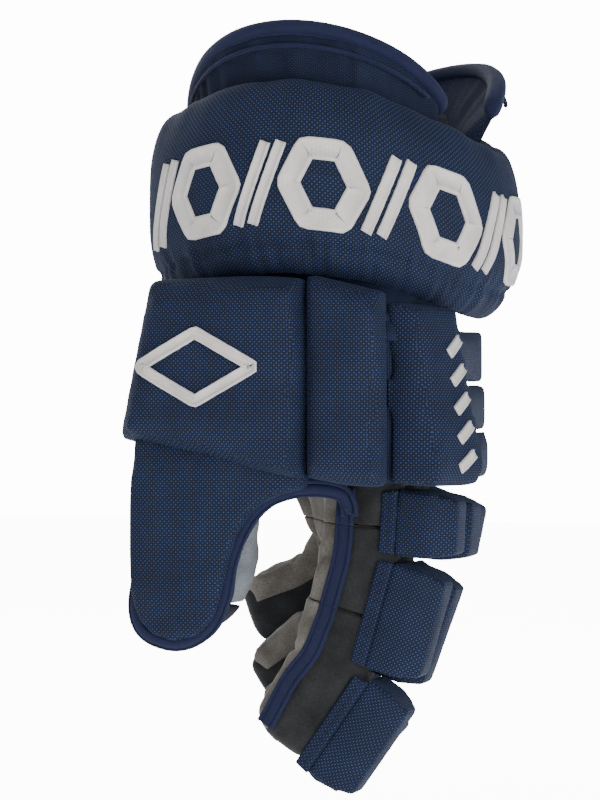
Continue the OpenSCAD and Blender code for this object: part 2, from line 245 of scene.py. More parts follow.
def selectOnly(piece):
    bpy.ops.object.select_all(action="DESELECT")
    piece.select_set(True)
    bpy.context.view_layer.objects.active = piece


def addObject(name, data):
    item = bpy.data.objects.new(name, data)
    bpy.context.scene.collection.objects.link(item)
    return item


def newPiece(name, points, faces, material):
    mesh = bpy.data.meshes.new(name)
    mesh.from_pydata([tuple(p) for p in points], [], faces)
    mesh.materials.append(material)
    mesh.update()
    return addObject(name, mesh)


def smoothShade(piece):
    piece.data.polygons.foreach_set("use_smooth", [True] * len(piece.data.polygons))


def applyModifiers(piece):
    selectOnly(piece)
    for modifier in list(piece.modifiers):
        bpy.ops.object.modifier_apply(modifier=modifier.name)


def subdivide(piece, levels=1):
    modifier = piece.modifiers.new("fine", "SUBSURF")
    modifier.levels = levels
    modifier.render_levels = levels
    applyModifiers(piece)
    smoothShade(piece)


def outward(piece):
    selectOnly(piece)
    bpy.ops.object.mode_set(mode="EDIT")
    bpy.ops.mesh.select_all(action="SELECT")
    bpy.ops.mesh.remove_doubles(threshold=0.00001)
    bpy.ops.mesh.normals_make_consistent(inside=False)
    bpy.ops.object.mode_set(mode="OBJECT")


def getPoints(mesh):
    points = np.zeros(len(mesh.vertices) * 3, np.float32)
    mesh.vertices.foreach_get("co", points)
    return points.reshape(-1, 3)


def getNormals(mesh):
    normals = np.zeros(len(mesh.vertices) * 3, np.float32)
    mesh.vertices.foreach_get("normal", normals)
    return normals.reshape(-1, 3)


def setPoints(mesh, points):
    mesh.vertices.foreach_set("co", np.asarray(points, np.float32).ravel())
    mesh.update()


def pushOut(piece, amount):
    # amount(point, normal) is how far a point goes along its normal
    points, normals = getPoints(piece.data), getNormals(piece.data)
    far = np.array([amount(Vector(p), Vector(n)) for p, n in zip(points, normals)])
    setPoints(piece.data, points + normals * far[:, None])


def boxCloth(piece, turn=None):
    # lays the cloth's pattern flat on each facet, along the piece's own directions
    turn = np.array(turn.to_3x3() if turn else Matrix.Identity(3), float)
    mesh = piece.data
    local = getPoints(mesh) @ turn
    layer = mesh.uv_layers.get("cloth") or mesh.uv_layers.new(name="cloth")
    corners = np.zeros(len(mesh.loops), np.int32)
    mesh.loops.foreach_get("vertex_index", corners)
    facing = np.zeros(len(mesh.polygons) * 3, np.float32)
    mesh.polygons.foreach_get("normal", facing)
    main = np.abs(facing.reshape(-1, 3) @ turn).argmax(1)
    sizes = np.zeros(len(mesh.polygons), np.int32)
    mesh.polygons.foreach_get("loop_total", sizes)
    main = np.repeat(main, sizes)
    flat = local[corners]
    first = np.where(main == 0, flat[:, 1], flat[:, 0])
    second = np.where(main == 2, flat[:, 1], flat[:, 2])
    layer.data.foreach_set("uv", np.stack([first, second], 1).astype(np.float32).ravel())


def loft(name, rings, material, closedRing=True, caps=True, closedPath=False):
    # a skin through rings of points, with the cloth's pattern laid along it in metres
    rings = [[Vector(p) for p in ring] for ring in rings]
    count, size = len(rings), len(rings[0])
    points = [p for ring in rings for p in ring]
    faces, spread = [], []
    run = [0.0]
    for before, after in zip(rings, rings[1:] + rings[:1]):
        run.append(run[-1] + sum((q - p).length for p, q in zip(before, after)) / size)
    middle = rings[count // 2]
    girth = [0.0]
    for p, q in zip(middle, middle[1:] + middle[:1]):
        girth.append(girth[-1] + (q - p).length)
    for i in range(count if closedPath else count - 1):
        for j in range(size if closedRing else size - 1):
            k, m = (i + 1) % count, (j + 1) % size
            faces.append((i * size + j, i * size + m, k * size + m, k * size + j))
            spread.append([(girth[j], run[i]), (girth[j + 1], run[i]),
                           (girth[j + 1], run[i + 1]), (girth[j], run[i + 1])])
    if caps and closedRing and not closedPath:
        for i in (0, count - 1):
            corner = [i * size + j for j in range(size)]
            faces.append(tuple(corner if i else reversed(corner)))
            spread.append([(points[c].x, points[c].z) for c in faces[-1]])
    piece = newPiece(name, points, faces, material)
    layer = piece.data.uv_layers.new(name="cloth")
    layer.data.foreach_set("uv", [value for face in spread for corner in face for value in corner])
    smoothShade(piece)
    outward(piece)
    return piece


def roundSection(centerA, centerB, halfA, halfB, power, count):
    # a rounded rectangle as evenly spaced points
    fine = []
    for i in range(720):
        t = 2 * math.pi * i / 720
        a = math.copysign(abs(math.cos(t)) ** (2 / power), math.cos(t)) * halfA
        b = math.copysign(abs(math.sin(t)) ** (2 / power), math.sin(t)) * halfB
        fine.append((centerA + a, centerB + b))
    return evenly(fine, count, True)


def evenly(points, count, closed):
    points = [Vector(p) for p in points]
    if closed:
        points = points + points[:1]
    run = [0.0]
    for p, q in zip(points, points[1:]):
        run.append(run[-1] + (q - p).length)
    made, at = [], 0
    for i in range(count):
        want = run[-1] * i / (count if closed else count - 1)
        while at < len(run) - 2 and run[at + 1] < want:
            at += 1
        step = run[at + 1] - run[at]
        made.append(points[at].lerp(points[at + 1], (want - run[at]) / step if step else 0.0))
    return made


def smoothPath(corners, count):
    # an even, rounded path through a few corner points
    corners = [Vector(p) for p in corners]
    fine = []
    last = len(corners) - 1
    for i in range(last):
        a, b, c, d = corners[max(i - 1, 0)], corners[i], corners[i + 1], corners[min(i + 2, last)]
        for step in range(16):
            t = step / 16
            fine.append(0.5 * (2 * b + (c - a) * t + (2 * a - 5 * b + 4 * c - d) * t * t
                               + (3 * b - a - 3 * c + d) * t * t * t))
    fine.append(corners[-1])
    return evenly(fine, count, False)


def sweep(name, path, side, section, material, tips=0.0):
    # runs a section along a path; side(point, along) is the direction of the section's first axis
    rings, count = [], len(path)
    for i, point in enumerate(path):
        along = (path[min(i + 1, count - 1)] - path[max(i - 1, 0)]).normalized()
        first = side(point, along)
        first = (first - along * first.dot(along)).normalized()
        second = along.cross(first)
        near = min(i, count - 1 - i) * (path[1] - path[0]).length
        size = 1.0 if not tips or near >= tips else math.sqrt(max(0.02, 1 - (1 - near / tips) ** 2))
        rings.append([point + first * a * size + second * b * size for a, b in section])
    return loft(name, rings, material)


def join(pieces, name):
    bpy.ops.object.select_all(action="DESELECT")
    for piece in pieces:
        piece.select_set(True)
    bpy.context.view_layer.objects.active = pieces[0]
    bpy.ops.object.join()
    pieces[0].name = name
    return pieces[0]


stitch = {"length": 2.6 * mm, "gap": 1.0 * mm, "radius": 0.32 * mm}


def stitchRow(name, path, lift):
    # a row of short thread beads; lift(point) is the way out of the cloth
    points, faces = [], []
    total = sum((q - p).length for p, q in zip(path, path[1:]))
    count = max(2, int(total / (stitch["length"] + stitch["gap"])))
    spots = evenly(path, count * 2 + 1, False)
    for i in range(count):
        a, b = spots[2 * i], spots[2 * i + 1]
        along = (b - a).normalized() * stitch["length"] / 2
        out = lift((a + b) / 2).normalized()
        wide = along.cross(out).normalized()
        middle = (a + b) / 2 + out * stitch["radius"] * 0.5
        base = len(points)
        for t, size in ((-1.0, 0.35), (-0.6, 1.0), (0.6, 1.0), (1.0, 0.35)):
            for k in range(5):
                turn = 2 * math.pi * k / 5
                spoke = out * math.cos(turn) + wide * math.sin(turn)
                points.append(middle + along * t + spoke * stitch["radius"] * size)
        for ring in range(3):
            for k in range(5):
                m, row = (k + 1) % 5, base + ring * 5
                faces.append((row + k, row + m, row + 5 + m, row + 5 + k))
        faces.append(tuple(base + k for k in reversed(range(5))))
        faces.append(tuple(base + 15 + k for k in range(5)))
    piece = newPiece(name, points, faces, seamThread)
    outward(piece)
    smoothShade(piece)
    boxCloth(piece)
    return piece


waiting = []  # pieces that still have to be puffed up


def shiftPart(piece, chosen, offset):
    # moves the points that chosen(point) picks
    selectOnly(piece)
    bpy.ops.object.mode_set(mode="EDIT")
    bpy.ops.mesh.select_all(action="DESELECT")
    bpy.ops.object.mode_set(mode="OBJECT")
    for vertex in piece.data.vertices:
        vertex.select = bool(chosen(vertex.co))
    bpy.ops.object.mode_set(mode="EDIT")
    bpy.ops.mesh.select_mode(type="VERT")
    bpy.ops.transform.translate(value=offset)
    bpy.ops.object.mode_set(mode="OBJECT")


def foamFrom(node, name, material, shifts=()):
    # a block of foam cut to the solid's shape, before its corners are rounded
    mesh = cadNodes[node].data.copy()
    mesh.materials.clear()
    mesh.materials.append(material)
    piece = addObject(name, mesh)
    outward(piece)
    for chosen, offset in shifts:
        shiftPart(piece, chosen, offset)
    return piece


def roundOff(piece, voxel=2.2 * mm, rounds=4):
    remesh = piece.modifiers.new("even", "REMESH")
    remesh.mode = "VOXEL"
    remesh.voxel_size = voxel
    soft = piece.modifiers.new("soft", "SMOOTH")
    soft.factor = 0.5
    soft.iterations = rounds
    applyModifiers(piece)
    smoothShade(piece)


def puffLater(piece, sewn, cap):
    # sewn(point) picks the points that stay where the seam holds them
    group = piece.vertex_groups.new(name="sewn")
    held = [v.index for v in piece.data.vertices if sewn(v.co)]
    group.add(held, 1.0, "REPLACE")
    waiting.append((piece, cap))


puff = {"frames": 14, "stiffness": 18.0, "bending": 0.6, "mass": 0.2, "pressure": 4.0}


def puffAll():
    for piece, _ in waiting:
        cloth = piece.modifiers.new("puff", "CLOTH")
        rules = cloth.settings
        rules.quality = 3
        rules.mass = puff["mass"]
        rules.tension_stiffness = puff["stiffness"]
        rules.compression_stiffness = puff["stiffness"]
        rules.shear_stiffness = puff["stiffness"] / 2
        rules.bending_stiffness = puff["bending"]
        rules.use_pressure = True
        rules.uniform_pressure_force = puff["pressure"]
        rules.effector_weights.gravity = 0.0
        rules.vertex_group_mass = "sewn"
        cloth.collision_settings.use_collision = False
        cloth.point_cache.frame_start = 1
        cloth.point_cache.frame_end = puff["frames"]
    for number in range(1, puff["frames"] + 1):
        bpy.context.scene.frame_set(number)
    view = bpy.context.evaluated_depsgraph_get()
    swollen = [getPoints(piece.evaluated_get(view).data).copy() for piece, _ in waiting]
    for (piece, cap), points in zip(waiting, swollen):
        piece.modifiers.remove(piece.modifiers["puff"])
        start = getPoints(piece.data)
        move = points - start
        far = np.linalg.norm(move, axis=1, keepdims=True) + 1e-9
        setPoints(piece.data, start + move / far * cap * np.tanh(far / cap))
    bpy.context.scene.frame_set(1)
    print("glove: puffed", len(waiting), "pieces")


def fade(value, width):
    return math.exp(-(value / width) ** 2)


def clip(value):
    return min(1.0, max(0.0, value))


def pucker(point, scale):
    # gathers along a seam: one number that wanders between -1 and 1
    return noise.noise(point * scale)


def ripple(a, b, c):
    return noise.noise(Vector((a, b, c)))


cuffLow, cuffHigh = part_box("cuff_roll")
cuff = {"halfA": cuffHigh.x, "halfB": cuffHigh.y, "thick": 15 * mm, "height": 78 * mm, "backDrop": 26 * mm,
        "heelDrop": 18 * mm, "end": 152.0, "bulge": 2.2 * mm, "roundEnd": 9 * mm, "count": 150}


def cuffTop(phi):
    drop = cuff["backDrop"] if math.cos(phi) > 0 else cuff["heelDrop"]
    return -drop * math.cos(phi) ** 2


def cuffBottom(phi):
    return cuffTop(phi) * 0.7 - cuff["height"]


def onCuff(phi, inset, z):
    return Vector(((cuff["halfA"] - inset) * math.cos(phi), (cuff["halfB"] - inset) * math.sin(phi), z))


def phiOf(point):
    return math.atan2(point.y / cuff["halfB"], point.x / cuff["halfA"])


# how the cuff's cloth gathers: above the hem, in the seam over it, below the top, and everywhere
gather = {"hemUp": 6 * mm, "hemWidth": 9 * mm, "hemDepth": 1.5 * mm, "seamUp": 8 * mm, "seamWidth": 1.7 * mm,
          "seamDepth": 1.3 * mm, "seamDrift": 1.2 * mm, "topWidth": 14 * mm, "topDepth": 1.3 * mm, "cloth": 0.5 * mm}


def makeCuffRoll():
    rings, count, end = [], cuff["count"], math.radians(cuff["end"])
    base = roundSection(0, 0, 1, 5, 3.0, 60)
    for i in range(count + 1):
        phi = -end + 2 * end * i / count
        top, bottom = cuffTop(phi) + 1.5 * mm, cuffBottom(phi) - 3.0 * mm
        half, tall, middle = cuff["thick"] / 2, (top - bottom) / 2, (top + bottom) / 2
        near = (end - abs(phi)) * cuff["halfA"]
        size = math.sqrt(max(0.03, 1 - (1 - min(near, cuff["roundEnd"]) / cuff["roundEnd"]) ** 2))
        ring = []
        for a, b in base:
            v = b / 5
            belly = cuff["bulge"] * (1 - v * v) if a > 0 else 0.0
            under = 6 + 7 * max(0.0, math.cos(phi))
            tuck = under * mm * max(0.0, -v - 0.3) ** 1.4 + 5 * mm * max(0.0, v - 0.45) ** 1.5
            ring.append(onCuff(phi, half - a * half * size - belly + tuck, middle + v * tall * (0.9 + 0.1 * size)))
        rings.append(ring)
    piece = loft("cuffRoll", rings, navyNylon)
    subdivide(piece)

    def hem(point, normal):
        phi = phiOf(point)
        outer = normal.x * math.cos(phi) + normal.y * math.sin(phi)
        if outer < -0.2:
            return 0.0
        above = point.z - cuffBottom(phi)
        flow = Vector((phi * 9, point.z * 30, 1.0))
        waves = gather["hemDepth"] * pucker(flow, 2.2) * fade(above - gather["hemUp"], gather["hemWidth"])
        drift = gather["seamDrift"] * pucker(flow, 1.4)
        seam = -gather["seamDepth"] * fade(above - gather["seamUp"] - drift, gather["seamWidth"])
        topFold = gather["topDepth"] * ripple(phi * 5, point.z * 12, 4.0)
        topFold *= fade(point.z - cuffTop(phi), gather["topWidth"])
        return waves + seam + topFold + gather["cloth"] * pucker(point, 28)

    pushOut(piece, hem)
    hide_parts("cuff_roll", "cuff_insert")
    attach(piece, "cuff")
    return piece


flaps = {
    "thumb": {"from": -155, "to": -24, "rise": 33.5 * mm, "lean": 4 * mm, "fold": 0.0,
              "node": "inner_cuff_thumb_flap"},
    "little": {"from": 2, "to": 150, "rise": 30 * mm, "lean": 8 * mm, "fold": 9 * mm,
               "node": "inner_cuff_little_flap"}}
flap = {"outer": 21.4 * mm, "thick": 7.4 * mm, "bottom": -66 * mm, "end": -12 * mm, "tape": 4.2 * mm}


def flapTop(rules, s):
    if not 0 < s < 1:
        return flap["end"]
    low = 0.26 * clip((s - 0.2) / 0.22) if rules["fold"] else 0.0
    return flap["end"] + rules["rise"] * math.sin(math.pi * s ** 0.9) ** 0.7 * (1 - low)


def flapInset(rules, z, top, phi):
    # the flap stands straight inside the cuff and leans out above it
    rise = clip((z + 30 * mm) / (top + 30 * mm))
    lean = rules["lean"] + rules["fold"] * fade(math.degrees(phi) - 14, 34)
    return flap["outer"] + flap["thick"] / 2 - lean * rise * rise


def makeFlap(side):
    rules, rings, topLine = flaps[side], [], []
    count, rows = 64, 22
    for i in range(count + 1):
        s = i / count
        phi = math.radians(rules["from"] + (rules["to"] - rules["from"]) * s)
        top = flapTop(rules, s)
        near = min(s, 1 - s) * 0.16 / (6 * mm)
        size = 0.25 + 0.75 * math.sqrt(max(0.0, 1 - (1 - min(near, 1.0)) ** 2))
        ring = []
        for way in (-1, 1):
            for k in range(rows + 1):
                t = k / rows if way < 0 else 1 - k / rows
                z = flap["bottom"] + (top + 2.5 * mm - flap["bottom"]) * t
                half = flap["thick"] / 2 * (1 - 0.5 * t ** 8 - 0.5 * (1 - t) ** 8) * size
                ring.append(onCuff(phi, flapInset(rules, z, top, phi) + way * half, z))
        rings.append(ring)
        topLine.append(onCuff(phi, flapInset(rules, top, top, phi), top + 1.2 * mm))
    piece = loft(side + "Flap", rings, softNylon)
    subdivide(piece)

    def folds(point, normal):
        phi = phiOf(point)
        s = (math.degrees(phi) - rules["from"]) / (rules["to"] - rules["from"])
        below = flapTop(rules, clip(s)) - point.z
        return (pucker(Vector((phi * 7, point.z * 18, 2.0)), 1.6) * fade(below - 8 * mm, 10 * mm) * 1.6 * mm
                + 0.8 * mm * pucker(point, 24))

    pushOut(piece, folds)
    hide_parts(rules["node"])
    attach(piece, "cuff")

    path = evenly(topLine, 90, False)
    outOf = lambda point, along: Vector((point.x, point.y, 0)).normalized()
    tape = sweep(side + "FlapTape", path, outOf, roundSection(0, -2.4 * mm, flap["tape"], 3.4 * mm, 2.8, 20),
                 edgeTape, tips=6 * mm)
    drop = [p + outOf(p, p) * (flap["tape"] - 0.3 * mm) - Vector((0, 0, 5.6 * mm)) for p in path[9:-9]]
    rope = sweep(side + "FlapCord", drop, outOf, roundSection(0, 0, 0.95 * mm, 0.95 * mm, 2, 8), edgeTape)
    tape = join([tape, rope], side + "FlapTape")
    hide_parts("flap_binding_" + side)
    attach(tape, "cuff")


handOutline = [(50, -56), (52, -20), (48, 20), (40, 57), (-18, 57), (-20, 10), (-22, -12), (-62, -22),
               (-65, -64), (44, -64)]
wrist = {"top": -62 * mm, "bottom": -110 * mm, "mouthA": 57 * mm, "mouthB": 53 * mm, "count": 150}


def handRing(grow, count):
    # the hand's outline, pushed out by grow, starting from the back of the hand
    corners = [Vector((x * mm, y * mm, 0)) for x, y in handOutline]
    middle = sum(corners, Vector()) / len(corners)
    corners = [p + (p - middle).normalized() * grow for p in corners]
    start = (corners[0] + corners[1]) / 2
    path = evenly([start] + corners[1:] + corners[:1], 400, True)
    for _ in range(10):
        path = [(path[i - 1] + path[i] * 2 + path[(i + 1) % 400]) / 4 for i in range(400)]
    angles = [math.atan2(p.y, p.x + 2 * mm) for p in path]
    first = min(range(400), key=lambda i: abs(angles[i]))
    return evenly(path[first:] + path[:first], count, True)


def makeWristSleeve():
    # soft cloth that joins the cuff to the hand
    low, rings, rows, count = handRing(3.2 * mm, wrist["count"]), [], 22, wrist["count"]
    for k in range(rows + 1):
        t = k / rows
        z = wrist["top"] + (wrist["bottom"] - wrist["top"]) * t
        mix = t * t * (3 - 2 * t)
        ring = []
        for j in range(count):
            turn = 2 * math.pi * j / count
            up = Vector((wrist["mouthA"] * math.cos(turn), wrist["mouthB"] * math.sin(turn), 0))
            p = up.lerp(low[j], mix)
            fold = 1 + 0.012 * math.sin(t * 21) * math.sin(math.pi * t)
            ring.append(Vector((p.x * fold, p.y * fold, z)))
        rings.append(ring)
    piece = loft("wristSleeve", rings, softNylon, caps=False)
    wall = piece.modifiers.new("wall", "SOLIDIFY")
    wall.thickness = 1.4 * mm
    applyModifiers(piece)
    smoothShade(piece)
    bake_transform(piece)


def makeWristLining():
    low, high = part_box("wrist_liner")
    rings, count = [], 120
    section = roundSection(0, (low.z + high.z) / 2, 1.3 * mm, (high.z - low.z) / 2 + 2 * mm, 4, 40)
    for i in range(count):
        turn = 2 * math.pi * i / count
        out = Vector((math.cos(turn), math.sin(turn), 0))
        rings.append([Vector((high.x * out.x, high.y * out.y, 0)) - out * (1.2 * mm - a)
                      - out * 1.2 * mm * abs(math.sin(turn * 7 + b * 40)) + Vector((0, 0, b)) for a, b in section])
    piece = loft("wristLining", rings, liningCloth, closedPath=True)
    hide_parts("wrist_liner")
    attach(piece, "cuff")


cuffRoll = makeCuffRoll()
makeFlap("thumb")
makeFlap("little")
makeWristSleeve()
makeWristLining()
print("glove: cuff made")


thread = {"height": 1.15 * mm, "ragged": 0.22 * mm, "step": 1.3 * mm}


def ribbon(outline, width, closed):
    # a band of satin stitches along a flat path: raised borders and a lower filling
    ends = outline[1:] + (outline[:1] if closed else [])
    length = sum((Vector(q) - Vector(p)).length for p, q in zip(outline, ends))
    count = max(8, int(length / thread["step"]))
    path = evenly([Vector((p[0], p[1])) for p in outline], count, closed)
    profile = [(-0.5, 0.0), (-0.47, 0.8), (-0.4, 1.0), (-0.31, 0.9), (-0.27, 0.62), (0.27, 0.62), (0.31, 0.9),
               (0.4, 1.0), (0.47, 0.8), (0.5, 0.0)]
    rows = []
    for i, p in enumerate(path):
        before = path[i - 1] if closed or i else p
        after = path[(i + 1) % count] if closed or i + 1 < count else p
        along = (after - before).normalized()
        side = Vector((-along.y, along.x))
        rag = thread["ragged"] * ripple(i * 1.7, width * 300, 3.1)
        rows.append([(p + side * (a * width + math.copysign(rag, a) * (abs(a) > 0.45)), h) for a, h in profile])
    return rows


def sewOn(name, bands, target, place, closed):
    # lays flat bands on a padded piece; place(a, b) gives a ray towards the cloth
    tree = BVHTree.FromPolygons(getPoints(target.data).tolist(), [tuple(f.vertices) for f in target.data.polygons])
    made = []
    for number, (outline, width) in enumerate(bands):
        rings = []
        for row in ribbon(outline, width, closed):
            ring = []
            for flat, h in row:
                origin, way = place(flat.x, flat.y)
                hit, normal, _, _ = tree.ray_cast(origin, way, 0.2)
                if hit is None:
                    hit, normal = origin + way * 20 * mm, -way
                if normal.dot(way) > 0:
                    normal = -normal
                ring.append(hit + normal * (thread["height"] * h + 0.05 * mm))
            under = [p + way * 0.8 * mm for p in (ring[-1], ring[0])]
            rings.append(ring + under)
        made.append(loft(name + str(number), rings, threadSilver, closedPath=closed))
    return join(made, name)


cuffMotif = {"tall": 40 * mm, "width": 9.5 * mm, "level": -0.043, "first": -115, "turn": 38.5, "count": 5}


def makeCuffMotif():
    # a row of outlined hexagons with leaning bars between them, laid round the cuff
    radius = cuff["halfA"]
    rings, bars = [], []
    for k in range(-1, cuffMotif["count"]):
        at = math.radians(cuffMotif["first"] + cuffMotif["turn"] * k) * radius
        half = cuffMotif["tall"] / 2 - cuffMotif["width"] / 2
        corners = [(at + half * 0.98 * math.cos(math.radians(60 * n)), half * math.sin(math.radians(60 * n)) * 1.12)
                   for n in range(6)]
        if k >= 0:
            rings.append((corners, cuffMotif["width"]))
        mid = at + math.radians(cuffMotif["turn"] / 2) * radius
        for shift in (-3.4 * mm, 3.4 * mm):
            bars.append(([(mid + shift - 6.5 * mm, -half - 2 * mm), (mid + shift + 6.5 * mm, half + 2 * mm)],
                         cuffMotif["width"] * 0.5))

    def place(a, b):
        phi = a / radius
        origin = onCuff(phi, -15 * mm, cuffTop(phi) * 0.85 + cuffMotif["level"] + b)
        return origin, Vector((-math.cos(phi), -math.sin(phi), 0))

    outlines = sewOn("cuffHexagons", rings, cuffRoll, place, True)
    leaning = sewOn("cuffBars", bars, cuffRoll, place, False)
    piece = join([outlines, leaning], "cuffMotif")
    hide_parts("cuff_embroidery")
    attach(piece, "cuff")


makeCuffMotif()
print("glove: cuff embroidery made")


def finishPad(piece, body, nodes, turn=None, blendWith=None):
    boxCloth(piece, turn)
    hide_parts(*nodes)
    if blendWith:
        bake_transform(piece)
    else:
        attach(piece, body)


rolls = {
    "thumbSideRoll": {"node": "thumb_side_roll", "shifts": [
        (lambda p: p.z > -0.1, (0, 0, 6.5 * mm)), (lambda p: p.z > -0.092 and p.x < -0.04, (0, 0, 6 * mm)),
        (lambda p: p.z < -0.148, (-1 * mm, 0, -1.5 * mm))]},
    "webRoll": {"node": "web_roll", "shifts": [
        (lambda p: p.z > -0.115, (0, 0, 8.5 * mm)), (lambda p: p.x < 0.02, (-0.5 * mm, 0, 0))]},
    "indexSideRoll": {"node": "index_side_roll", "shifts": [
        (lambda p: p.z > -0.12, (-4 * mm, 0, 9.5 * mm)),
        (lambda p: p.z < -0.16 and p.x > 0.057, (4.5 * mm, 0, -1 * mm))]},
    "littleSideRoll": {"node": "little_side_roll", "shifts": [(lambda p: p.z > -0.115, (0, 0, 8 * mm))]},
    "backRoll1": {"node": "back_roll_1", "shifts": [
        (lambda p: p.z > -0.113, (0, 0, 2.5 * mm)), (lambda p: p.x > 0.06, (-6.5 * mm, 0, 0))]},
    "backRoll2": {"node": "back_roll_2", "shifts": [(lambda p: p.x > 0.06, (-6 * mm, 0, 0))]},
    "backRoll3": {"node": "back_roll_3", "shifts": [(lambda p: p.x > 0.06, (-5.5 * mm, 0, 0))]}}


def makeRolls():
    made = {}
    for name, rules in rolls.items():
        piece = foamFrom(rules["node"], name, navyNylon, rules["shifts"])
        small = name.startswith("back")
        roundOff(piece, 1.8 * mm if small else 2.3 * mm, 3)
        if small:
            puffLater(piece, lambda p: p.x < 0.0575, 1.6 * mm)
        elif name == "indexSideRoll":
            puffLater(piece, lambda p: p.x < 0.056 and p.y > -0.06, 1.8 * mm)
        elif name == "littleSideRoll":
            puffLater(piece, lambda p: p.y < 0.0595, 2.2 * mm)
        else:
            puffLater(piece, lambda p: p.y > -0.0685, 2.4 * mm)
        made[name] = piece
    return made


rollPieces = makeRolls()

# one way of measuring for all fingers: down the segment, out to the back, and across
fingers = {
    "index": {"y": -41, "angles": (4, 16, 35), "lengths": (27, 46, 44)},
    "middle": {"y": -14, "angles": (6, 20, 46), "lengths": (27, 49, 42)},
    "ring": {"y": 13, "angles": (12, 32, 55), "lengths": (26, 45, 40)},
    "little": {"y": 40, "angles": (22, 48, 70), "lengths": (25, 36, 35)}}
parts = ("base", "middle", "tip")
bodyOf = {"base": "_base", "middle": "_mid", "tip": "_tip"}


def fingerJoint(finger, k):
    return jointAt[finger + ("_knuckle", "_bend", "_tip_bend")[k]]


def fingerTurn(finger, k):
    # a matrix whose axes are: out to the back of the finger, across, and up along the segment
    angle = math.radians(fingers[finger]["angles"][k])
    return Matrix(((math.cos(angle), 0, math.sin(angle)), (0, 1, 0), (-math.sin(angle), 0, math.cos(angle))))


def segment(finger, k):
    # a segment's turn, its joint, and its directions out to the back and up
    back = fingerTurn(finger, k)
    return back, fingerJoint(finger, k), back @ Vector((1, 0, 0)), back @ Vector((0, 0, 1))


# the tip pads stand further out and up, in mm, than the others
padRise = (4.5 * mm, 4.5 * mm, 5.5 * mm)
tipPad = {"out": 3.5, "up": 1.5}


def makeFingerPads():
    made = {}
    for finger in fingers:
        for k, part in enumerate(parts):
            node = finger + "_" + part + "_pad"
            back, start, out, up = segment(finger, k)
            raised = lambda p, up=up, start=start: (p - start).dot(up) > -8 * mm
            piece = foamFrom(node, finger + part.capitalize() + "Pad", navyNylon, [(raised, up * padRise[k])])
            if k == 2:
                shiftPart(piece, lambda p: True, out * tipPad["out"] * mm + up * tipPad["up"] * mm)
            roundOff(piece, 1.7 * mm, 3)
            level = 20.5 * mm + (tipPad["out"] * mm if k == 2 else 0)
            puffLater(piece, lambda p, out=out, start=start, level=level: (p - start).dot(out) < level, 1.4 * mm)
            made[finger, k] = piece
    return made


fingerPads = makeFingerPads()

thumb = {"start": (-0.010, -0.076, -0.158), "end": (-0.022, -0.076, -0.192), "back": -73 * mm, "front": -84.5 * mm,
         "seam": -76 * mm, "web": 18 * mm, "webSlope": 0.36}
thumbOutline = [(-63, -149.5), (-65, -165), (-66, -180), (-66, -200), (-65, -219), (-61.5, -229), (-55, -235.5),
                (-46, -238), (-36, -236), (-28, -228.5), (-24.5, -217), (-22, -203), (-18, -190.5), (-10.5, -180.5),
                (-1, -175), (9, -173), (11, -165), (-10, -160.5), (-28, -156)]
archPath = [(25.5, -55.5, -184), (24.9, -56.5, -179), (22, -58, -174.6), (13, -61, -172.8), (3, -65, -173.6),
            (-7, -69, -177.6), (-14.2, -72, -184.8), (-19, -74, -194.2), (-22.6, -75, -205.8), (-25, -76, -219),
            (-29.7, -77, -230.2), (-37.2, -77.5, -236.6), (-46.5, -78, -238.6), (-57, -78, -235.6),
            (-62.5, -77, -229.6), (-64, -75.5, -220), (-62, -72.5, -208), (-58, -69, -200)]


def slab(name, outline, back, front, material):
    count = len(outline)
    points = [(x * mm, y, z * mm) for y in (back, front) for x, z in outline]
    faces = [tuple(range(count)), tuple(reversed(range(count, 2 * count)))]
    faces += [(i, i + count, (i + 1) % count + count, (i + 1) % count) for i in range(count)]
    piece = newPiece(name, points, faces, material)
    outward(piece)
    return piece


def bendThumb(piece):
    # the web beside the thumb lies deeper than the thumb itself
    points = getPoints(piece.data)
    points[:, 1] += thumb["webSlope"] * np.maximum(0, points[:, 0] + thumb["web"])
    setPoints(piece.data, points)


thumbPad = slab("thumbPad", thumbOutline, thumb["back"], thumb["front"], navyNylon)
roundOff(thumbPad, 2.1 * mm, 6)
bendThumb(thumbPad)
puffLater(thumbPad, lambda p: p.y > thumb["seam"] + thumb["webSlope"] * max(0.0, p.x + thumb["web"]), 2.6 * mm)
puffAll()

for name, piece in rollPieces.items():
    subdivide(piece)
    turn = Matrix.Rotation(math.radians(-25), 4, "Z") if name == "indexSideRoll" else None
    finishPad(piece, "hand", [rolls[name]["node"]], turn)
for (finger, k), piece in fingerPads.items():
    subdivide(piece)
    finishPad(piece, finger + bodyOf[parts[k]], [finger + "_" + parts[k] + "_pad"], fingerTurn(finger, k).to_4x4())
subdivide(thumbPad)
finishPad(thumbPad, "thumb", ["thumb_pad", "thumb_stay"], blendWith=("hand", "thumb", thumb["start"], thumb["end"]))
print("glove: pads made")


skin = {"middle": 5 * mm, "deep": 12.7 * mm, "wide": 11.9 * mm, "reach": 9.0, "step": 1.6, "palm": 12.9 * mm}
bent = {finger: [0.0] + [float(a) for a in rules["angles"]] for finger, rules in fingers.items()}


def fingerAngle(finger, u):
    # u is how far down the finger a place is, in mm from the knuckle; the angle turns softly at each joint
    angle, at = 0.0, 0.0
    for k in range(3):
        t = clip((u - at) / (2 * skin["reach"]) + 0.5)
        angle += (bent[finger][k + 1] - bent[finger][k]) * t * t * (3 - 2 * t)
        at += fingers[finger]["lengths"][k]
    return math.radians(angle)


lineSpots = {}


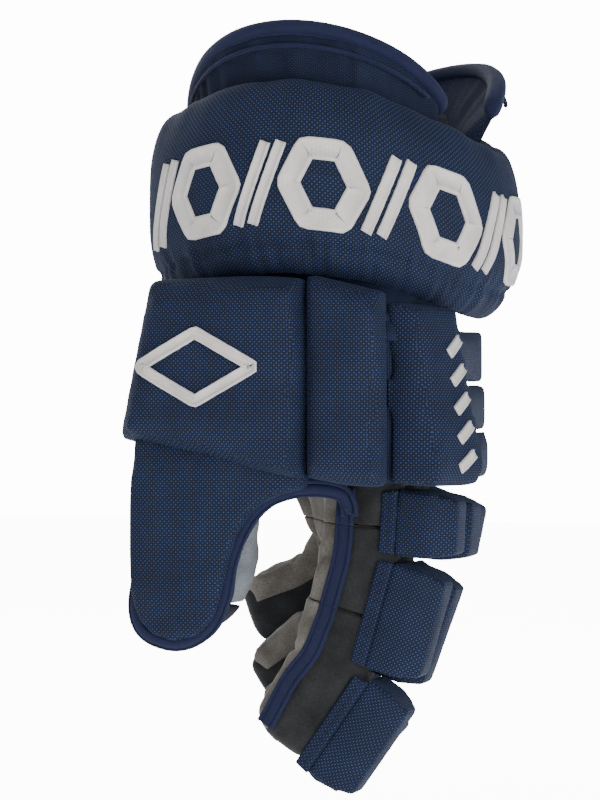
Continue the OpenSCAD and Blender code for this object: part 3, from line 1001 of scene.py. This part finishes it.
def fingerLine(finger, first, last):
    # the joint line from u = first to u = last as (u, point, out to the back)
    if finger not in lineSpots:
        lineSpots[finger] = {}
        for way in (-1, 1):
            point, u = fingerJoint(finger, 0).copy(), 0.0
            while -20 < u < 130:
                angle = fingerAngle(finger, u)
                lineSpots[finger][round(u * 2)] = (point.copy(), Vector((math.cos(angle), 0, -math.sin(angle))))
                point = point + way * 0.5 * mm * Vector((-math.sin(angle), 0, -math.cos(angle)))
                u += way * 0.5
    count = max(4, int((last - first) / skin["step"]))
    made = []
    for i in range(count + 1):
        u = first + (last - first) * i / count
        point, out = lineSpots[finger][round(u * 2)]
        down = Vector((out.z, 0, -out.x))
        made.append((u, point + down * (u - round(u * 2) / 2) * mm, out))
    return made


def fingerSpans(finger):
    a, b, c = fingers[finger]["lengths"]
    return [(-7.0, a / 2, 0.0), (a / 2, a + b / 2, float(a)), (a + b / 2, a + b + c - 1.0, float(a + b))]


def overJoint(finger, k, piece):
    # the piece is baked where it stands; the joint line at the top of segment k is found but not used to bend it
    joint = fingerSpans(finger)[k][2]
    line = fingerLine(finger, joint - 10, joint + 10)
    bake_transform(piece)


def indexEdge(u):
    # where the index finger's edge tape runs, measured out to the back from the joints
    t = clip((u - 55) / 30)
    return (-3.2 - 3.2 * t + 2.0 * clip((u - 90) / 18)) * mm


def stallRing(finger, u, point, out, total):
    shape = roundSection(0, 0, skin["deep"], skin["wide"], 4.0, 56)
    left = max(0.0, total - u)
    close = math.sqrt(max(0.04, 1 - (1 - min(left, 7.0) / 7.0) ** 2))
    ring = []
    for a, b in shape:
        bias = -4 * mm * (1 - close)
        side = abs(b) / skin["wide"]
        wave = ripple(u * 0.09, a * 130, fingers[finger]["y"] + b * 60) * 1.1 * mm
        wave += ripple(u * 0.035, a * 60 + u * 0.05, 7.0 + fingers[finger]["y"]) * 1.5 * mm * side
        deeper = 2.5 * mm * clip((u - total + 50) / 25) * (a > 0)
        across = Vector((0, (b + math.copysign(wave, b) * side) * close, 0))
        ring.append(point + out * (skin["middle"] + deeper + bias + a * close) + across)
    return ring


slack = {"index": 26.0, "middle": 33.0, "ring": 32.0, "little": 28.0}


def slackOf(finger, u, t):
    # the suede hangs straight from the palm to the fingertips instead of following the knuckles
    down = clip((u + 8) / 68)
    across = min(1.0, t * 1.3) ** 1.5 if finger == "index" else 1.0
    return slack[finger] * (1 - down) ** 1.35 * across * mm


def palmRing(finger, u, point, out, total):
    # the suede on the palm side: a strip that bulges in long soft folds
    start = indexEdge(u) if finger == "index" else 1.5 * mm
    left = clip((total - u) / 12.0)
    close = math.sqrt(max(0.05, 1 - (1 - left) ** 2))
    wide, count, far = skin["palm"], 44, -8.6 * mm
    corner, ring = 5.0 * mm, []
    path = [Vector((start, -wide, 0)), Vector((far + corner, -wide, 0))]
    for n in range(7):
        turn = math.pi / 12 * n
        path.append(Vector((far + corner - corner * math.sin(turn), -wide + corner - corner * math.cos(turn), 0)))
    path += [Vector((p.x, -p.y, 0)) for p in reversed(path[1:])] + [Vector((1.5 * mm, wide, 0))]
    seed = fingers[finger]["y"] * 0.31
    full = math.sin(math.pi * clip((u + 8) / (total + 14))) ** 0.7
    for n, p in enumerate(evenly(path, count, False)):
        t = n / (count - 1)
        drift = ripple(u * 0.022, 1.5, seed) * 0.11
        ridge = abs(math.sin(math.pi * (2.6 * (t + drift) + 0.1))) ** 0.75
        edge = min(1.0, t * 7, (1 - t) * 7)
        bulge = (0.6 + 4.6 * ridge * full) * edge * mm
        bulge += ripple(u * 0.13, t * 6, seed) * 1.0 * mm * edge
        for joint in (fingers[finger]["lengths"][0], sum(fingers[finger]["lengths"][:2])):
            bulge -= 1.6 * mm * edge * fade(u - joint - 3 * math.sin(t * 9 + seed), 2.6)
        bulge += slackOf(finger, u, t) * clip((2 * mm - p.x) / (8 * mm))
        a, b = p.x - bulge * (0.35 + 0.65 * clip(-(p.x) / (8 * mm))), p.y
        b += math.copysign(min(bulge, 3 * mm) * 0.15 * clip(1 + p.x / (8 * mm)), b) * (abs(b) > 8 * mm)
        a = skin["middle"] * (1 - close) + a * close
        ring.append(point + out * a + Vector((0, b * close, 0)))
    return ring


def makeStalls():
    for finger, rules in fingers.items():
        total = sum(rules["lengths"])
        for k, (first, last, _) in enumerate(fingerSpans(finger)):
            name = finger + parts[k].capitalize()
            line = fingerLine(finger, first, last)
            stall = loft(name + "Stall", [stallRing(finger, u, p, out, total) for u, p, out in line], blackSuede)
            subdivide(stall)
            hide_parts(finger + "_" + parts[k] + "_sleeve")
            overJoint(finger, k, stall)
            palmSide = loft(name + "Palm", [palmRing(finger, u, p, out, total - 1) for u, p, out in line],
                            graySuede, closedRing=False, caps=False)
            wall = palmSide.modifiers.new("wall", "SOLIDIFY")
            wall.thickness = 1.2 * mm
            wall.offset = -1
            subdivide(palmSide)
            overJoint(finger, k, palmSide)


makeStalls()

indexTape = {"half": 3.1 * mm, "thick": 1.5 * mm, "face": -13.3 * mm, "cord": 1.05 * mm, "end": 6.0}


def makeIndexTape():
    # the band that binds the index finger's palm edge, with a cord along its back edge
    total = sum(fingers["index"]["lengths"])
    for k, (first, last, _) in enumerate(fingerSpans("index")):
        last = min(last, total - indexTape["end"])
        line = fingerLine("index", first + (0 if k else 5), last)
        direction = lambda p, along: along.cross(Vector((0, 1, 0))) * -1
        middle = [p + out * indexEdge(u) + Vector((0, indexTape["face"], 0)) for u, p, out in line]
        path = evenly(middle, len(middle) * 2, False)
        section = roundSection(0, 0.3 * mm, indexTape["half"], indexTape["thick"], 3.2, 20)
        made = [sweep("indexTape" + str(k), path, direction, section, edgeTape)]
        for offset, radius in ((indexTape["half"], 1.0), (-indexTape["half"] - 0.2 * mm, 0.75)):
            level = Vector((0, indexTape["face"] - 0.7 * mm, 0))
            rope = [p + out * (indexEdge(u) + offset) + level for u, p, out in line]
            size = indexTape["cord"] * radius
            made.append(sweep("rope", evenly(rope, len(rope) * 2, False), direction,
                              roundSection(0, 0, size, size, 2, 8), edgeTape))
        overJoint("index", k, join(made, "index" + parts[k].capitalize() + "Tape"))


makeIndexTape()

flange = {"from": 12.4 * mm, "to": 19.5 * mm, "thick": 1.8 * mm, "row": 16.4 * mm}


def makeFlanges(finger, side):
    # the pads' cloth is sewn down to the stall along a thin edge
    for k, part in enumerate(parts):
        back, start, out, up = segment(finger, k)
        length = fingers[finger]["lengths"][k] * mm
        shift = tipPad["out"] * mm if k == 2 else 0.0
        tops, bottoms = (3.0 * mm, 3.0 * mm, 4.0 * mm), (-length + 2 * mm, -length + 2 * mm, -length - 0.5 * mm)
        corners = [(flange["from"] + shift, tops[k] - 1 * mm), (flange["to"] + shift, tops[k]),
                   (flange["to"] + shift, bottoms[k]), (flange["from"] + shift, bottoms[k] + 1 * mm)]
        near, far = side * 11.7 * mm, side * (11.7 * mm + flange["thick"])
        points = [start + out * a + up * b + Vector((0, y, 0)) for y in (near, far) for a, b in corners]
        faces = [(0, 1, 2, 3), (7, 6, 5, 4)] + [(i, i + 4, (i + 1) % 4 + 4, (i + 1) % 4) for i in range(4)]
        piece = newPiece(finger + part.capitalize() + "Flange", points, faces, navyNylon)
        outward(piece)
        roundOff(piece, 0.7 * mm, 3)
        boxCloth(piece, back.to_4x4())
        row = [start + out * (flange["row"] + shift) + up * b + Vector((0, far, 0))
               for b in (tops[k] - 2 * mm, bottoms[k] + 2 * mm)]
        stitches = stitchRow(finger + part.capitalize() + "Stitches", row, lambda p: Vector((0, side, 0)))
        for made in (piece, stitches):
            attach(made, finger + bodyOf[part])


makeFlanges("index", -1)
makeFlanges("little", 1)
print("glove: fingers made")


def makeThumbTape():
    path = smoothPath([[c * mm for c in p] for p in archPath], 170)
    direction = lambda p, along: along.cross(Vector((0, 1, 0)))
    band = sweep("thumbTape", path, direction, roundSection(0.2 * mm, 0, 2.9 * mm, 4.8 * mm, 2.6, 24),
                 edgeTape, tips=4 * mm)
    made = [band]
    for a, b, radius in ((-3.1, 3.9, 1.05), (3.0, 3.2, 0.6)):
        rope = []
        for i, p in enumerate(path):
            along = (path[min(i + 1, len(path) - 1)] - path[max(i - 1, 0)]).normalized()
            out = direction(p, along).normalized()
            rope.append(p + out * a * mm + along.cross(out) * b * mm)
        made.append(sweep("rope", rope, direction, roundSection(0, 0, radius * mm, radius * mm, 2, 8), edgeTape))
    piece = join(made, "thumbTape")
    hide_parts("web_binding", "thumb_binding")
    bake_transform(piece)


# height, middle, half width and half depth of the thumb's stall, in mm
stallLevels = [(-156, -39, 23, 10), (-170, -38.5, 23.5, 11), (-185, -38, 24.5, 11.5), (-200, -38, 24.5, 11.5),
               (-212, -39, 23, 11), (-222, -41, 20, 10.5), (-230, -43.5, 15, 9.5), (-235, -45, 8, 7)]


thumbStall = {"tall": 79, "levels": 44, "split": 37, "middle": -66.2 * mm, "flat": 0.96}


def makeThumbStall():
    # the stall for the thumb: wrinkled pale suede with a black end
    rings, levels, split = [], thumbStall["levels"], thumbStall["split"]
    table = np.array(stallLevels, float)
    for i in range(levels + 1):
        z = stallLevels[0][0] - thumbStall["tall"] * i / levels
        x, halfX, halfY = (np.interp(-z, -table[:, 0], table[:, n]) for n in (1, 2, 3))
        ring = []
        for a, b in roundSection(0, 0, halfX * mm, halfY * mm, 3.0, 72):
            wave = ripple(a * 70, z * 0.055, b * 70) * 1.5 * mm
            wave += ripple(a * 90, z * 0.2, b * 90 + 5) * 1.0 * mm
            size = 1 + wave / (halfX * mm)
            ring.append(Vector((x * mm + a * size, thumbStall["middle"] + b * size * thumbStall["flat"], z * mm)))
        rings.append(ring)
    for name, part, material, slot in (("thumbStall", rings[:split + 1], paleSuede, "grey_suede"),
                                       ("thumbStallEnd", rings[split:], liningCloth, "black_lining")):
        piece = loft(name, part, material)
        subdivide(piece)
        if name == "thumbStall":
            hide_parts("thumb_sleeve")
            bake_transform(piece)
        else:
            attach(piece, "thumb")


makeThumbTape()
makeThumbStall()
print("glove: thumb made")


def softCopy(node, name, material, voxel, rounds, wrinkle):
    piece = foamFrom(node, name, material)
    roundOff(piece, voxel, rounds)
    pushOut(piece, lambda p, n: wrinkle * noise.noise(p * 55) + wrinkle * 0.5 * noise.noise(p * 160))
    boxCloth(piece)
    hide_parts(node)
    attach(piece, "hand")
    return piece


softCopy("back_shell", "backShell", softNylon, 1.4 * mm, 6, 0.5 * mm)
softCopy("palm", "palmSkin", graySuede, 1.4 * mm, 8, 1.1 * mm)
softCopy("palm_overlay", "palmPatch", graySuede, 0.7 * mm, 4, 0.35 * mm)
floorOutline = [(-6, -12), (-6, 51), (36, 51), (44, 20), (47, -20), (46, -50), (4, -50)]
floorLevels = (-172, -157)


def makeHandFloor():
    # dark suede between the fingers' roots
    count = len(floorOutline)
    points = [(x * mm, y * mm, z * mm) for z in floorLevels for x, y in floorOutline]
    faces = [tuple(reversed(range(count))), tuple(range(count, 2 * count))]
    faces += [(i, (i + 1) % count, (i + 1) % count + count, i + count) for i in range(count)]
    piece = newPiece("fingerRoots", points, faces, blackSuede)
    outward(piece)
    roundOff(piece, 2.0 * mm, 6)
    pushOut(piece, lambda p, n: 1.2 * mm * noise.noise(p * 60))
    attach(piece, "hand")


makeHandFloor()
backPanel = foamFrom("back_insert", "backPanel", softNylon)
roundOff(backPanel, 0.9 * mm, 2)
pushOut(backPanel, lambda p, n: 0.6 * mm)
boxCloth(backPanel)
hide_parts("back_insert")
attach(backPanel, "hand")


sideMotif = {"points": [(-26, 0), (0, 14.5), (26, 0), (0, -14.5)], "width": 5.2 * mm, "place": (-33, -121)}
stripeMotif = {"count": 5, "first": -161, "pitch": 12.2, "width": 4.6 * mm, "half": 4.6}


def makeRollMotifs():
    x, z = sideMotif["place"]
    corners = [((x + a) * mm, (z + b) * mm) for a, b in sideMotif["points"]]
    toward = lambda a, b: (Vector((a, -0.2, b)), Vector((0, 1, 0)))
    emblem = sewOn("sideEmblem", [(corners, sideMotif["width"])], rollPieces["thumbSideRoll"], toward, True)
    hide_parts("side_emblem")
    # slanted bars, one above the other, on the facet that faces the back of the hand
    facing = Vector((-math.cos(math.radians(25)), math.sin(math.radians(25)), 0))
    across = Vector((facing.y, -facing.x, 0))
    middle = Vector((0.0725, -0.047, 0))
    onFacet = lambda a, b: (middle + across * a - facing * 0.05 + Vector((0, 0, b)), facing)
    bars = []
    for k in range(stripeMotif["count"]):
        z = (stripeMotif["first"] + k * stripeMotif["pitch"]) * mm
        half = stripeMotif["half"] * mm
        bars.append(([(-half, z - 3.2 * mm), (half, z + 3.2 * mm)], stripeMotif["width"]))
    stripe = sewOn("sideStripe", bars, rollPieces["indexSideRoll"], onFacet, False)
    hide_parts("side_stripe")
    for piece in (emblem, stripe):
        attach(piece, "hand")


makeRollMotifs()
print("glove: shell and emblems made")


view = {"turn": 17.0, "distance": 1.3, "lens": 130.0, "target": (-0.0146, 0.0, -0.135)}
# each lamp: towards the camera, to the right, up, size and power
lamps = {"keyLight": (0.9, 0.75, -0.05, 0.7, 13.0), "topLight": (0.5, -0.5, 1.0, 0.9, 7.0),
         "lowLight": (0.8, 0.2, -0.155, 0.3, 3.0), "backLight": (-0.8, -0.4, 0.6, 0.9, 8.0)}
# strength of the room and the paper as light for the glove, and where the camera sees them directly
room, sheet = (0.42, 14.0), (1.3, 12.0)


def seenBrighter(tree, strengths, target):
    seen = addNode(tree, "ShaderNodeLightPath")
    brightness = addNode(tree, "ShaderNodeMapRange", in3=strengths[0], in4=strengths[1])
    link(tree, seen.outputs["Is Camera Ray"], brightness.inputs[0])
    link(tree, brightness.outputs[0], target)


def makeStage():
    turn = math.radians(view["turn"])
    target = Vector(view["target"])
    back = Vector((math.sin(turn), -math.cos(turn), 0))
    data = bpy.data.cameras.new("camera")
    data.lens = view["lens"]
    camera = addObject("camera", data)
    camera.location = target + back * view["distance"]
    camera.rotation_euler = (math.radians(90), 0, turn)
    bpy.context.scene.camera = camera
    right = Vector((math.cos(turn), math.sin(turn), 0))
    for name, (near, aside, up, size, power) in lamps.items():
        place = target + back * near + right * aside + Vector((0, 0, up))
        lamp = bpy.data.lights.new(name, "AREA")
        lamp.size = size
        lamp.energy = power
        light = addObject(name, lamp)
        light.location = place
        light.rotation_euler = (target - place).to_track_quat("-Z", "Y").to_euler()
    world = bpy.data.worlds.new("room")
    world.use_nodes = True
    backdrop = world.node_tree.nodes["Background"]
    backdrop.inputs[0].default_value = (1.0, 1.0, 1.0, 1.0)
    seenBrighter(world.node_tree, room, backdrop.inputs[1])
    bpy.context.scene.world = world
    bpy.ops.mesh.primitive_plane_add(size=6.0, location=(0, 0, cadBounds[0][2] - 0.012))
    floor = bpy.context.active_object
    floor.name = "floor"
    paper = bpy.data.materials.new("paper")
    paper.use_nodes = True
    shader = paper.node_tree.nodes["Principled BSDF"]
    shader.inputs["Base Color"].default_value = (0.9, 0.9, 0.9, 1.0)
    shader.inputs["Emission Color"].default_value = (1.0, 1.0, 1.0, 1.0)
    seenBrighter(paper.node_tree, sheet, shader.inputs["Emission Strength"])
    shader.inputs["Roughness"].default_value = 0.9
    floor.data.materials.append(paper)


makeStage()
print("glove: done")
